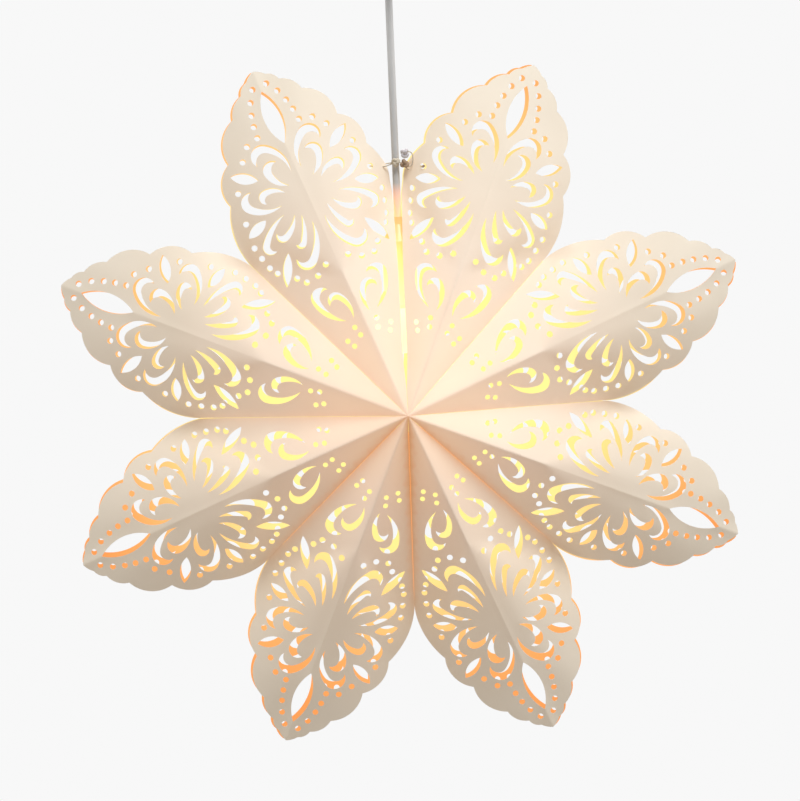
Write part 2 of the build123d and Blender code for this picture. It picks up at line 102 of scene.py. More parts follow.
# How far each back sheet's tip has slipped sideways behind its front sheet
back_slip = [-2.5, 2.4, 2.4, 1.8, -2.2, -2.8, 2.2, -3.2]
slip_start = 120.0
# A hand-folded star isn't regular: a petal that lies flatter reaches further out and is wider,
# and each leans a little to one side. Both in mm at the tip, lean towards +away
petal_reach = [-0.4, 1.2, 4.0, 2.4, 0.0, -1.0, -1.8, -1.6]
petal_lean = [-3.6, -2.2, -2.0, 2.2, 5.6, 1.8, -1.2, -4.2]
reach_start = 110.0
lean_span = 270.0
lean_curve = 1.3
width_gain = 0.011            # share of its width that a petal gains per mm of reach
seam_lift = 5.6               # the open seam's edges have slid outward along it
lift_curve = 1.5
glued_until = 150.0           # neighbours move together up to here, and freely further out
free_from = 190.0

# Outline of half a petal: along its ridge, away from it
side_bow = (184.0, 66.8)
scallop_cusps = [(207.5, 59.5), (239.5, 47.5), (271.0, 30.0), (286.0, 16.5), (294.2, 8.4)]
scallop_bow = [6.3, 6.5, 2.8, 1.6, 0.7]
bend_ends = [(205.0, 66.5, notch_depth), (246.0, 56.0, rim_depth), (286.0, 30.0, rim_depth)]

# Cut-outs of half a petal: tail, crown, beak and thickness of each comma
commas = [
    [(212.5, 4.5), (241.5, 15.0), (227.5, 27.0), 6.4],
    [(203.0, 10.0), (219.5, 25.0), (225.0, 12.0), 6.4],
    [(198.5, 15.5), (208.0, 31.5), (196.5, 32.5), 5.4],
    [(190.5, 22.0), (197.0, 49.5), (211.0, 40.5), 6.2],
    [(183.0, 23.5), (167.1, 49.4), (158.5, 40.5), 5.6],
    [(179.5, 16.0), (162.8, 29.2), (171.5, 35.0), 5.2],
    [(177.0, 11.0), (153.5, 17.0), (156.5, 24.5), 4.8],
    [(169.0, 5.5), (136.2, 16.0), (146.0, 29.0), 6.4],
    [(85.0, 12.8), (108.0, 32.0), (113.5, 16.5), 6.2],
    [(85.0, 7.0), (107.0, 9.0), (100.5, 20.0), 5.2],
]
comma_lean = 0.15
almonds = [
    [(217.0, 31.0), (229.5, 50.5), 9.0],
    [(185.0, 38.5), (177.5, 57.0), 8.4],
    [(153.5, 33.0), (128.5, 45.5), 7.6],
]
ridge_almond = [(235.5, 0.0), (282.0, 0.0), 15.0]
small_dot_radius = 2.1
small_dots = [(64.8, 15.4), (70.4, 18.6), (71.0, 7.4), (78.0, 9.2)]
dot_radius = 2.5
dots = [
    (131.6, 35.0), (125.4, 29.2), (126.6, 18.8), (132.4, 9.6),
    (142.0, 47.8), (148.5, 51.8), (158.2, 54.4), (168.4, 56.4), (189.0, 54.4), (214.4, 50.0),
    (236.0, 36.4), (246.0, 28.4), (248.8, 18.0), (258.4, 17.0), (267.6, 15.0), (277.4, 11.6),
    (286.6, 6.0),
]

# Spacing of the card's points: along the rim, straight edges and cut-outs, and inside it
rim_step = 2.5
straight_step = 3.0
hole_step = 1.7
fill_step = 6.0
fill_row_step = fill_step * 0.87
fill_start = 5.0
fill_end = 70.0
ridge_rows = (0.6, 1.6)
ridge_rows_end = 2.0
ridge_rows_start = straight_step + 1.0
ridge_clearance = 0.55        # least distance of an inner point from an edge
clearance = 2.0
same_point = 1e-5

# Open seam between the two upper petals: distance from the centre, half its width
seam_edge = [(19.0, 0.0), (45.0, 1.8), (120.0, 2.2), (168.8, 3.8), (182.8, 3.8), (196.0, 0.0)]
seam_right = petal_count // 4 - 1
seam_left = petal_count // 4
seam_sides = {seam_right: 1, seam_left: -1}

# Tie string through the hole beside the seam of both upper petals
tie_hole = dots[8]
tie_height = 203.0
string_radius = 0.5
string_pitch = 3.2
string_step = 0.4
string_sides = 12
ply_waist = 0.86              # the two plies' outline, as shares of the string's radius
ply_bulge = 0.2
# The string's way: from the knots behind the cord, and a loop above and below the knots
to_left_hole = [(0.0, -6.0, 0.0), (-6.0, -4.8, -2.5), (-12.0, -2.0, -3.7)]
behind_cord = [(-10.0, 5.5, -1.0), (0.0, 4.4, 0.0), (10.0, 5.5, -1.0)]
back_to_knots = [(11.5, -1.8, -7.0), (8.5, -3.6, -5.5), (7.5, -6.0, -2.0)]
knot_loop = [
    (8.0, -6.5, 7.0), (12.5, -6.6, 9.5), (15.0, -6.4, 3.0), (12.8, -6.0, -5.5), (8.0, -6.0, -3.0),
]
string_end = (-1.5, -0.8, -1.0)
# Knots: place beside the tie, size, thickness of the strand
knots = [
    [(0.2, -6.6, 0.0), 2.7, 1.3],
    [(7.2, -6.0, -1.6), 2.7, 1.4],
    [(7.8, -6.2, 7.0), 2.9, 1.5],
]
end_knot_size = 1.1
knot_steps = 72
knot_depth = 1.3              # the knot's depth against its width
knot_turn = 0.9               # each knot is turned by this much more than the one before

# Cord
cord_radius = 3.0 * MM
cord_in_cap = 12.0 * MM
gland_pivot = 73.0 * MM       # below the ceiling: the cord turns here in the gland's mouth

# ---------------------------------------------------------------- places from the frame
petal_nodes = sorted(name for name in frame["nodes"] if "petal" in name)
petal_boxes = [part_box(name) for name in petal_nodes]
star_z = (min(low[2] for low, high in petal_boxes) + max(high[2] for low, high in petal_boxes)) / 2
star_centre = Vector((0, 0, star_z))
cap_top_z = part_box("holder_cap")[1][2]
globe_low, globe_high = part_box("bulb_globe")
globe_centre = Vector((0, 0, globe_low[2] + (globe_high[0] - globe_low[0]) / 2))


# ---------------------------------------------------------------- camera
photo_size = (800, 801)
focal_pixels = 2400.0
azimuth = math.radians(-0.9)
elevation = math.radians(5.0)
roll = math.radians(2.42)
view_distance = 2.0
offset_right = -0.00460
offset_up = 0.00543


def make_camera():
    back = Vector((
        math.sin(azimuth) * math.cos(elevation),
        -math.cos(azimuth) * math.cos(elevation),
        math.sin(elevation),
    ))
    right = Vector((math.cos(azimuth), math.sin(azimuth), 0))
    up = back.cross(right)
    data = bpy.data.cameras.new("camera")
    data.sensor_width = 36.0
    data.lens = focal_pixels / max(photo_size) * data.sensor_width
    data.clip_end = 50.0
    camera = bpy.data.objects.new("camera", data)
    bpy.context.scene.collection.objects.link(camera)
    camera_right = right * math.cos(roll) - up * math.sin(roll)
    camera_up = right * math.sin(roll) + up * math.cos(roll)
    place = star_centre + back * view_distance + right * offset_right + up * offset_up
    turn = Matrix((camera_right, camera_up, back)).transposed()
    camera.matrix_world = Matrix.Translation(place) @ turn.to_4x4()
    bpy.context.scene.camera = camera


make_camera()
bpy.context.scene.view_settings.view_transform = "Standard"


# ---------------------------------------------------------------- material helpers
def new_material(name):
    material = bpy.data.materials.new(name)
    material.use_nodes = True
    return material, material.node_tree.nodes, material.node_tree.links


def object_coordinates(nodes):
    return nodes.new("ShaderNodeTexCoord").outputs["Object"]


def noise_texture(nodes, links, coordinates, scale, detail=3.0, stretch=(1, 1, 1)):
    mapping = nodes.new("ShaderNodeMapping")
    mapping.inputs["Scale"].default_value = stretch
    links.new(coordinates, mapping.inputs["Vector"])
    texture = nodes.new("ShaderNodeTexNoise")
    texture.inputs["Scale"].default_value = scale
    texture.inputs["Detail"].default_value = detail
    links.new(mapping.outputs["Vector"], texture.inputs["Vector"])
    return texture.outputs["Fac"]


def ramp(nodes, links, value, stops):
    node = nodes.new("ShaderNodeValToRGB")
    elements = node.color_ramp.elements
    while len(elements) > len(stops):
        elements.remove(elements[-1])
    while len(elements) < len(stops):
        elements.new(1.0)
    for element, (position, colour) in zip(elements, stops):
        element.position = position
        element.color = (*colour, 1.0)
    links.new(value, node.inputs["Fac"])
    return node.outputs["Color"]


def bump(nodes, links, height, strength, distance):
    node = nodes.new("ShaderNodeBump")
    node.inputs["Strength"].default_value = strength
    node.inputs["Distance"].default_value = distance
    links.new(height, node.inputs["Height"])
    return node.outputs["Normal"]


def attribute(nodes, name):
    node = nodes.new("ShaderNodeAttribute")
    node.attribute_name = name
    return node.outputs["Fac"]


def blend(nodes, links, share, colour, other):
    """Mixes a linked colour with a plain one."""
    node = nodes.new("ShaderNodeMix")
    node.data_type = "RGBA"
    links.new(share, node.inputs["Factor"])
    links.new(colour, node.inputs[6])
    node.inputs[7].default_value = (*other, 1.0)
    return node.outputs[2]


def distance_from(nodes, links, centre):
    """Distance of the shaded point from a centre, as a share of the star's radius."""
    subtract = nodes.new("ShaderNodeVectorMath")
    subtract.operation = "SUBTRACT"
    links.new(object_coordinates(nodes), subtract.inputs[0])
    subtract.inputs[1].default_value = centre
    length = nodes.new("ShaderNodeVectorMath")
    length.operation = "LENGTH"
    links.new(subtract.outputs["Vector"], length.inputs[0])
    divide = nodes.new("ShaderNodeMath")
    divide.operation = "DIVIDE"
    links.new(length.outputs["Value"], divide.inputs[0])
    divide.inputs[1].default_value = tip_radius * MM
    return divide.outputs["Value"]


# ---------------------------------------------------------------- materials of the paper
def paper_outside():
    """Ivory card with painted lamp light where the lamp shines through it, painted glow along the
    folds, and painted shade in the lower valleys.
    """
    material, nodes, links = new_material("paper_outside")
    shader = nodes["Principled BSDF"]
    shader.inputs["Roughness"].default_value = 0.85
    shader.inputs["Specular IOR Level"].default_value = 0.2
    clouds = noise_texture(nodes, links, object_coordinates(nodes), 14.0, 4.0)
    tint = ramp(nodes, links, clouds, [(0.3, (0.86, 0.81, 0.70)), (0.7, (0.90, 0.85, 0.745))])
    # Painted shade: the base colour turns dark brown beside the lower valleys
    shaded = blend(nodes, links, attribute(nodes, "valley_shade"), tint, (0.36, 0.31, 0.20))
    links.new(shaded, shader.inputs["Base Color"])
    fibre = noise_texture(nodes, links, object_coordinates(nodes), 900.0, 2.0, (1.0, 1.0, 0.25))
    links.new(bump(nodes, links, fibre, 0.25, 0.0002), shader.inputs["Normal"])
    # Painted lamp light through the card: warm emission that fades away from the lamp, scaled by
    # light_share
    brightest = star_centre + Vector((0, 0, glow_rise * MM))
    glow = ramp(nodes, links, distance_from(nodes, links, brightest), [
        (0.22, (0.37, 0.145, 0.03)),
        (0.38, (0.22, 0.082, 0.02)),
        (0.66, (0.13, 0.05, 0.0)),
        (0.95, (0.09, 0.038, 0.0)),
    ])
    shone = nodes.new("ShaderNodeVectorMath")
    shone.operation = "SCALE"
    links.new(glow, shone.inputs[0])
    links.new(attribute(nodes, "light_share"), shone.inputs["Scale"])
    # Painted orange glow along the valleys, where the lamp shines through the glued folds
    fold = attribute(nodes, "painted_fold_glow")
    seen = blend(nodes, links, fold, shone.outputs["Vector"], (0.40, 0.12, 0.01))
    links.new(seen, shader.inputs["Emission Color"])
    shader.inputs["Emission Strength"].default_value = 1.0
    return material


def paper_inside():
    """Painted lamp light on the card's inside: yellow near the lamp, orange towards the tips, on a dark
    orange base.
    """
    material, nodes, links = new_material("paper_inside")
    shader = nodes["Principled BSDF"]
    shader.inputs["Roughness"].default_value = 0.9
    shader.inputs["Base Color"].default_value = (0.34, 0.20, 0.09, 1.0)
    brightest = (globe_centre + star_centre) / 2
    glow = ramp(nodes, links, distance_from(nodes, links, brightest), [
        (0.40, (1.0, 1.0, 0.36)),
        (0.58, (1.0, 0.90, 0.34)),
        (0.72, (1.0, 0.64, 0.25)),
        (0.86, (0.98, 0.42, 0.14)),
        (1.0, (0.88, 0.34, 0.10)),
    ])
    links.new(glow, shader.inputs["Emission Color"])
    shader.inputs["Emission Strength"].default_value = 0.8
    return material


def paper_edge():
    material, nodes, links = new_material("paper_edge")
    shader = nodes["Principled BSDF"]
    shader.inputs["Roughness"].default_value = 0.9
    fibre = noise_texture(nodes, links, object_coordinates(nodes), 700.0)
    tint = ramp(nodes, links, fibre, [(0.3, (0.74, 0.62, 0.48)), (0.7, (0.82, 0.72, 0.58))])
    links.new(tint, shader.inputs["Base Color"])
    return material


# ---------------------------------------------------------------- curves in the plane
def arc_through(start, end, bow, step):
    """Points of an arc that stands out by bow on the left of its chord, without its end."""
    start, end = np.array(start), np.array(end)
    chord = np.linalg.norm(end - start)
    forward = (end - start) / chord
    left = np.array([-forward[1], forward[0]])
    radius = (chord**2 / 4 + bow**2) / (2 * abs(bow))
    half = 2 * math.atan2(2 * abs(bow), chord)
    count = max(3, round(2 * half * radius / step))
    turns = np.linspace(-half, half, count + 1)[:-1]
    across = radius * np.sin(turns)
    rise = radius * (np.cos(turns) - math.cos(half)) * math.copysign(1, bow)
    return (start + end) / 2 + np.outer(across, forward) + np.outer(rise, left)


def tangent_arc(start, heading, end, step):
    """Points of the arc that leaves start along heading and reaches end."""
    start, heading, end = np.array(start), np.array(heading), np.array(end)
    side = np.array([-heading[1], heading[0]])
    reach = end - start
    if side @ reach < 0:
        side = -side
    radius = (reach @ reach) / (2 * (side @ reach))
    turn = 2 * math.atan2(side @ reach, heading @ reach)
    count = max(4, round(radius * turn / step))
    turns = np.linspace(0, turn, count + 1)
    return start + radius * (np.outer(np.sin(turns), heading) + np.outer(1 - np.cos(turns), side))


def straight(start, end, step):
    count = max(1, round(math.dist(start, end) / step))
    shares = np.linspace(0, 1, count + 1)[:-1, None]
    return np.array(start) * (1 - shares) + np.array(end) * shares


def comma_edge(tail, crown, beak, along):
    """Two arcs that meet smoothly at a comma's crown."""
    back = tangent_arc(crown, -along, tail, hole_step)[::-1]
    ahead = tangent_arc(crown, along, beak, hole_step)[1:]
    return np.vstack([back, ahead])


def comma_loop(tail, crown, beak, thickness):
    tail, crown, beak = (np.array(point) for point in (tail, crown, beak))
    along = (beak - tail) / np.linalg.norm(beak - tail)
    rise = (crown - tail) - along * (along @ (crown - tail))
    height = np.linalg.norm(rise)
    inner = crown - rise / height * thickness - along * comma_lean * height
    outer_edge = comma_edge(tail, crown, beak, along)
    inner_edge = comma_edge(tail, inner, beak, along)
    return np.vstack([outer_edge, inner_edge[::-1][1:-1]])


def almond_loop(start, end, width):
    there = arc_through(start, end, width / 2, hole_step)
    back = arc_through(end, start, width / 2, hole_step)
    return np.vstack([there, back])


def dot_loop(centre, radius, count=16):
    turns = np.arange(count) * 2 * math.pi / count
    return np.array(centre) + radius * np.column_stack([np.cos(turns), np.sin(turns)])


# ---------------------------------------------------------------- flat pattern of a petal
slant = math.radians(half_angle)
notch = (notch_radius * math.cos(slant), notch_radius * math.sin(slant))


def half_outline():
    """Loop round half a petal: ridge with half of its almond, scallops, side and valley."""
    almond_start, almond_end, almond_width = ridge_almond
    corners = [(tip_radius, 0.0)] + scallop_cusps[::-1]
    rim = [
        arc_through(start, end, -bow, rim_step)
        for start, end, bow in zip(corners[:-1], corners[1:], scallop_bow[::-1])
    ]
    middle = (np.array(scallop_cusps[0]) + np.array(notch)) / 2
    side_rise = math.dist(side_bow, middle)
    return np.vstack(
        [straight((0.0, 0.0), almond_start, straight_step)]
        + [arc_through(almond_start, almond_end, almond_width / 2, hole_step)]
        + [straight(almond_end, (tip_radius, 0.0), straight_step)]
        + rim
        + [arc_through(scallop_cusps[0], notch, -side_rise, rim_step)]
        + [straight(notch, (0.0, 0.0), straight_step)]
    )


def inside_loop(points, loop):
    x, y = points[:, 0], points[:, 1]
    result = np.zeros(len(points), bool)
    for (x1, y1), (x2, y2) in zip(loop, np.roll(loop, -1, axis=0)):
        if y1 != y2:
            crosses = (y1 > y) != (y2 > y)
            result ^= crosses & (x < (x2 - x1) * (y - y1) / (y2 - y1) + x1)
    return result


def fill_points(loops):
    """A staggered grid of points inside the card, and rows of them close to the ridge."""
    points = []
    for row, away in enumerate(np.arange(fill_start, fill_end, fill_row_step)):
        for along in np.arange((1 + row % 2) * fill_step / 2, tip_radius, fill_step):
            points.append((along, away))
    for away in ridge_rows:
        for along in np.arange(ridge_rows_start, tip_radius, straight_step):
            points.append((along, away))
    points = np.array(points)
    keep = inside_loop(points, loops[0])
    for loop in loops[1:]:
        keep &= ~inside_loop(points, loop)
    edge = np.vstack(loops)
    gap = np.sqrt(((points[:, None] - edge[None]) ** 2).sum(2)).min(1)
    near_ridge = points[:, 1] < ridge_rows_end
    keep &= np.where(near_ridge, gap > ridge_clearance, gap > clearance)
    return points[keep]


def flat_pattern():
    """Corners and triangles of a whole petal's card, mirrored about its ridge."""
    loops = [half_outline()]
    loops += [comma_loop(*comma) for comma in commas]
    loops += [almond_loop(*almond) for almond in almonds]
    loops += [dot_loop(centre, small_dot_radius) for centre in small_dots]
    loops += [dot_loop(centre, dot_radius) for centre in dots]
    corners = np.vstack(loops + [fill_points(loops)])
    edges = []
    first = 0
    for loop in loops:
        edges += [(first + k, first + (k + 1) % len(loop)) for k in range(len(loop))]
        first += len(loop)
    made = delaunay_2d_cdt([Vector(corner) for corner in corners], edges, [], 0, same_point)
    corners = np.array([tuple(corner) for corner in made[0]])
    triangles = np.array(made[2])
    centres = corners[triangles].mean(axis=1)
    keep = inside_loop(centres, loops[0])
    for loop in loops[1:]:
        keep &= ~inside_loop(centres, loop)
    triangles = triangles[keep]
    on_ridge = np.abs(corners[:, 1]) < 10 * same_point
    twin = np.where(on_ridge, np.arange(len(corners)), 0)
    twin[~on_ridge] = len(corners) + np.arange((~on_ridge).sum())
    mirrored = corners[~on_ridge] * (1, -1)
    return np.vstack([corners, mirrored]), np.vstack([triangles, twin[triangles][:, ::-1]])


# ---------------------------------------------------------------- the folded shape
ridge_fall = (apex_depth - tip_depth) / tip_radius
bend_depth = apex_depth - ridge_fall * bend_start
fan_ends = [(tip_radius, 0.0, tip_depth)] + bend_ends[::-1] + [(*notch, notch_depth)]
fan_angles = [math.atan2(y, x - bend_start) for x, y, depth in fan_ends]
fan_falls = [(bend_depth - depth) / math.hypot(x - bend_start, y) for x, y, depth in fan_ends]


def inner_depth(along, away):
    """The flat inner panel through the apex, the ridge's bend and the notch."""
    slope = (apex_depth - ridge_fall * notch[0] - notch_depth) / notch[1]
    return apex_depth - ridge_fall * along - slope * away


def fan_fall(angle):
    """Fall per millimetre from the ridge's bend, smooth from one bend to the next."""
    small_turn = 1e-3
    end = fan_angles[-1]
    before, after = (
        inner_depth(bend_start + math.cos(turn), math.sin(turn))
        for turn in (end + small_turn, end - small_turn)
    )
    last_slope = (after - before) / (2 * small_turn)
    slopes = [crease_gain * (fan_falls[1] - fan_falls[0]) / (fan_angles[1] - fan_angles[0])]
    for k in range(1, len(fan_angles) - 1):
        slopes.append((fan_falls[k + 1] - fan_falls[k - 1]) / (fan_angles[k + 1] - fan_angles[k - 1]))
    slopes.append(last_slope)
    result = np.zeros_like(angle)
    for k in range(len(fan_angles) - 1):
        width = fan_angles[k + 1] - fan_angles[k]
        t = np.clip((angle - fan_angles[k]) / width, 0, 1)
        value = (
            (2 * t**3 - 3 * t**2 + 1) * fan_falls[k]
            + (t**3 - 2 * t**2 + t) * width * slopes[k]
            + (3 * t**2 - 2 * t**3) * fan_falls[k + 1]
            + (t**3 - t**2) * width * slopes[k + 1]
        )
        chosen = (angle >= fan_angles[k]) & ((angle < fan_angles[k + 1]) | (k == len(fan_angles) - 2))
        result = np.where(chosen, value, result)
    return result


def sheet_depth(along, away):
    away = np.sqrt(away**2 + ridge_rounding**2) - ridge_rounding
    reach = np.hypot(along - bend_start, away)
    angle = np.arctan2(away, along - bend_start)
    fan = bend_depth - reach * fan_fall(np.minimum(angle, fan_angles[-1]))
    return np.where(angle > fan_angles[-1], inner_depth(along, away), fan)


def valley_axes(side):
    """Directions along one of a petal's valleys, and from it into the card."""
    along = np.array([math.cos(slant), side * math.sin(slant)])
    inward = np.array([math.sin(slant), -side * math.cos(slant)])
    return along, inward


def valley_distance(points):
    """Distance of each point of the card from its nearer valley, and from the star's axis."""
    gap = math.sin(slant) * points[:, 0] - math.cos(slant) * np.abs(points[:, 1])
    return np.maximum(gap, 0), np.hypot(points[:, 0], points[:, 1])


# Share of the painted orange glow of the lamp through a fold: strongest at a valley, gone away from it
# and far from the axis
def painted_fold_glow(points):
    gap, reach = valley_distance(points)
    return np.exp(-gap / fold_glow) * np.clip(fold_glow_end - reach / notch_radius, 0, 1)


def light_share(points):
    """How much of the lamp's light comes through the card: less beside a valley and on a ridge."""
    across = np.abs(points[:, 1]) / np.maximum(points[:, 0] * math.tan(slant), 1.0)
    beside_valley = np.clip((across - 0.5) / 0.5, 0, 1)
    on_ridge = np.clip(1 - across / ridge_zone, 0, 1)
    share = panel_light - valley_loss * beside_valley - ridge_loss * on_ridge
    inner = np.clip((inner_light_end - points[:, 0]) / inner_light_fade, 0, 1)
    return 1 + (share - 1) * inner


def valley_shade(points, angle):
    """Painted shade in the star's lower valleys, where neither the lamp nor the light from above
    reaches.
    """
    gap, reach = valley_distance(points)
    side = np.sign(points[:, 1])
    down = np.clip(-np.sin(np.radians(angle + half_angle * side)), 0, 1)
    facing_down = shade_middle - shade_turn * side * math.cos(math.radians(angle))
    beside_valley = np.exp(-gap / shade_reach)
    inside = np.clip(shade_end - reach / notch_radius, 0, 1)
    return down * np.clip(facing_down, 0, shade_most) * beside_valley * inside


def seam_half_width(distance):
    return np.interp(distance, [s for s, w in seam_edge], [w for s, w in seam_edge])


def valley_inset(points, open_side):
    """Moves the card back from its two valleys, and further beside the open seam."""
    points = points.copy()
    for side in (1, -1):
        along, inward = valley_axes(side)
        distance = points @ along
        gap = points @ inward
        inset = np.full(len(points), valley_gap)
        reach = gap_reach
        past = np.clip((distance - notch_radius) / gap_reach, 0, 1)
        if side == open_side:
            inset = np.maximum(inset, seam_half_width(distance))
            reach = seam_gap_reach
            past = 0
        fade = np.clip(1 - gap / reach, 0, 1) * np.clip(distance / seam_gap_reach, 0, 1)
        points += np.outer(inset * fade * (1 - past), inward)
    return points


def turned(points, degrees):
    turn = math.radians(degrees)
    ahead = (math.cos(turn), math.sin(turn))
    aside = (-math.sin(turn), math.cos(turn))
    return points @ np.array([ahead, aside])


def petal_slide(points, index):
    """Shift of a petal's points in its own plane, from how flat it lies and how it leans."""
    index = index % petal_count
    out = np.clip(points[:, 0], 0, None)
    along = petal_reach[index] * np.clip(out / reach_start, 0, 1)
    lean = petal_lean[index] * (out / lean_span) ** lean_curve
    return np.column_stack([along, lean + points[:, 1] * width_gain * petal_reach[index]])


def slide(points, index):
    """Moves the card as the folded star is, with neighbours together along their valley."""
    shift = petal_slide(points, index)
    reach = np.hypot(points[:, 0], points[:, 1])
    angle = np.degrees(np.arctan2(points[:, 1], points[:, 0]))
    glued = np.clip((free_from - reach) / (free_from - glued_until), 0, 1)
    result = points + shift
    for side in (1, -1):
        nearness = np.clip(angle * side / half_angle, 0, 1)
        if seam_sides.get(index) == side:
            along, inward = valley_axes(side)
            other = np.outer(seam_lift * np.clip(reach / notch_radius, 0, 1) ** lift_curve, along)
            share = nearness**2
        else:
            neighbour = 2 * half_angle * side
            other = turned(petal_slide(turned(points, -neighbour), index + side), neighbour)
            share = 0.5 * nearness**3 * glued
        result += (other - shift) * share[:, None]
    return result


def waves(points, seed):
    """Gentle unevenness of the card, nothing along the valleys."""
    width, height = wave_size
    level = seed * wave_seed
    lift = np.array([noise.noise(Vector((x / width, y / height, level))) for x, y in points])
    fine_level = seed * ripple_seed + ripple_seed_start
    spots = points / ripple_size
    fine = np.array([noise.noise(Vector((x, y, fine_level))) for x, y in spots])
    gap, reach = valley_distance(points)
    free = np.clip(gap / wave_fade, 0, 1) * np.clip(points[:, 0] / wave_start, 0, 1)
    outer_half = np.clip((points[:, 0] - wave_growth_start) / wave_growth_span, 0, 1)
    return free * (lift * wave * (1 + outer_half) + fine * ripple)


def place(along, away, depth, angle, front):
    """Star frame to the object's frame, in metres, for a petal at its angle."""
    turn = math.radians(angle)
    x = along * math.cos(turn) - away * math.sin(turn)
    z = along * math.sin(turn) + away * math.cos(turn)
    y = -depth if front else depth
    return np.column_stack([x, y, z]) * MM + np.array(star_centre)


flat_corners, flat_triangles = flat_pattern()


def rim_edges(triangles):
    count = {}
    for a, b, c in triangles:
        for edge in ((a, b), (b, c), (c, a)):
            key = (min(edge), max(edge))
            count.setdefault(key, []).append(edge)
    return [edges[0] for edges in count.values() if len(edges) == 1]


flat_rim = rim_edges(flat_triangles)


def flange_mesh(side, index, angle, front, first):
    """A thin strip turned in along a valley. In the lower valleys its wall takes the outside's material
    at full painted fold glow, a dark orange line of painted lamp light.
    """
    along, inward = valley_axes(side)
    distances = np.linspace(flange_start, notch_radius - flange_end_gap, flange_steps + 1)
    crest = apex_depth + (notch_depth - apex_depth) * distances / notch_radius - flange_sink
    height = np.minimum(flange_height, crest * flange_room)
    upper_edges = [(valley_gap, flange_top), (valley_gap + card, flange_top)]
    rows = []
    for inset, lowered in upper_edges + [(card, 1.0), (0.0, 1.0)]:
        flat = slide(np.outer(distances, along) + inward * inset, index)
        rows.append(place(flat[:, 0], flat[:, 1], crest - height * lowered, angle, front))
    row_starts = [first + row * len(distances) for row in range(len(rows))]
    faces = []
    for k in range(flange_steps):
        for a, b in zip(row_starts, row_starts[1:] + row_starts[:1]):
            faces.append((a + k, a + k + 1, b + k + 1, b + k))
    faces.append(tuple(row_starts))
    faces.append(tuple(start + flange_steps for start in row_starts[::-1]))
    points_down = math.sin(math.radians(angle + side * half_angle)) < -0.5
    slots = [1, 1, 1, 0 if points_down else 1] * flange_steps + [1, 1]
    return np.vstack(rows), faces, slots


def card_attribute(mesh, name, card_values, elsewhere):
    """Writes values onto both faces of a petal's card, and one value onto its flanges."""
    values = np.full(len(mesh.vertices), elsewhere, np.float32)
    values[:2 * len(card_values)] = np.tile(card_values, 2)
    mesh.attributes.new(name, "FLOAT", "POINT").data.foreach_set("value", values)


def make_petal(index, front, materials):
    angle = half_angle * (2 * index + 1)
    open_side = seam_sides.get(index, 0)
    flat = slide(valley_inset(flat_corners, open_side), index)
    seed = index + (0 if front else petal_count)
    depth = sheet_depth(*flat_corners.T) + waves(flat_corners, seed)
    depth = np.maximum(depth, card + sheet_gap)
    if not front:
        slipped = np.clip((flat[:, 0] - slip_start) / (tip_radius - slip_start), 0, 1)
        flat[:, 1] += back_slip[index] * slipped
    outer = place(flat[:, 0], flat[:, 1], depth, angle, front)
    inner = place(flat[:, 0], flat[:, 1], depth - card, angle, front)
    count = len(outer)
    corners = [outer, inner]
    flip = slice(None) if front else slice(None, None, -1)
    outer_faces = [tuple(face[flip]) for face in flat_triangles.tolist()]
    faces = outer_faces + [tuple(count + k for k in face[::-1]) for face in outer_faces]
    slots = [0] * len(outer_faces) + [1] * len(outer_faces)
    for a, b in flat_rim:
        wall = (b, a, count + a, count + b)
        faces.append(wall if front else wall[::-1])
        slots.append(2)
    first = 2 * count
    for side in (1, -1):
        if side != open_side:
            more, strip, strip_slots = flange_mesh(side, index, angle, front, first)
            corners.append(more)
            faces += strip
            slots += strip_slots
            first += len(more)
    sheet = "front" if front else "back"
    name = f"{sheet}_paper_{index + 1}"
    mesh = bpy.data.meshes.new(name)
    mesh.from_pydata(np.vstack(corners).tolist(), [], faces)
    for material in materials:
        mesh.materials.append(material)
    mesh.polygons.foreach_set("material_index", slots)
    card_attribute(mesh, "painted_fold_glow", painted_fold_glow(flat_corners), 1.0)
    card_attribute(mesh, "light_share", light_share(flat_corners), 1.0)
    card_attribute(mesh, "valley_shade", valley_shade(flat_corners, angle), 0.0)
    mesh.update()
    mesh.validate()
    mesh.shade_smooth()
    mesh.set_sharp_from_angle(angle=math.radians(crease_angle))
    petal = bpy.data.objects.new(name, mesh)
    bpy.context.scene.collection.objects.link(petal)
    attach(petal, "star")
    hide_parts(f"{sheet}_petal_{index + 1}")


paper = [paper_outside(), paper_inside(), paper_edge()]
for petal_index in range(petal_count):
    for is_front in (True, False):
        make_petal(petal_index, is_front, paper)


# ---------------------------------------------------------------- materials of the hardware
lamp_glow_start = star_z + 100 * MM
lamp_glow_end = star_z + 200 * MM


def lamp_glow(nodes, links, shader):
    """Painted warm light of the lamp on what stands inside the star, as emission gone above the slit's
    mouth.
    """
    apart = nodes.new("ShaderNodeSeparateXYZ")
    links.new(object_coordinates(nodes), apart.inputs[0])
    height = nodes.new("ShaderNodeMapRange")
    height.inputs["From Min"].default_value = lamp_glow_start
    height.inputs["From Max"].default_value = lamp_glow_end
    links.new(apart.outputs["Z"], height.inputs["Value"])
    glow = ramp(nodes, links, height.outputs["Result"], [
        (0.0, (1.0, 0.94, 0.50)),
        (0.25, (1.0, 0.84, 0.22)),
        (0.34, (1.0, 0.68, 0.14)),
        (0.46, (0.98, 0.40, 0.08)),
        (0.57, (0.92, 0.34, 0.06)),
        (0.72, (0.80, 0.26, 0.04)),
        (0.80, (0.45, 0.13, 0.02)),
        (0.86, (0.0, 0.0, 0.0)),
    ])
    links.new(glow, shader.inputs["Emission Color"])
    shader.inputs["Emission Strength"].default_value = 0.75


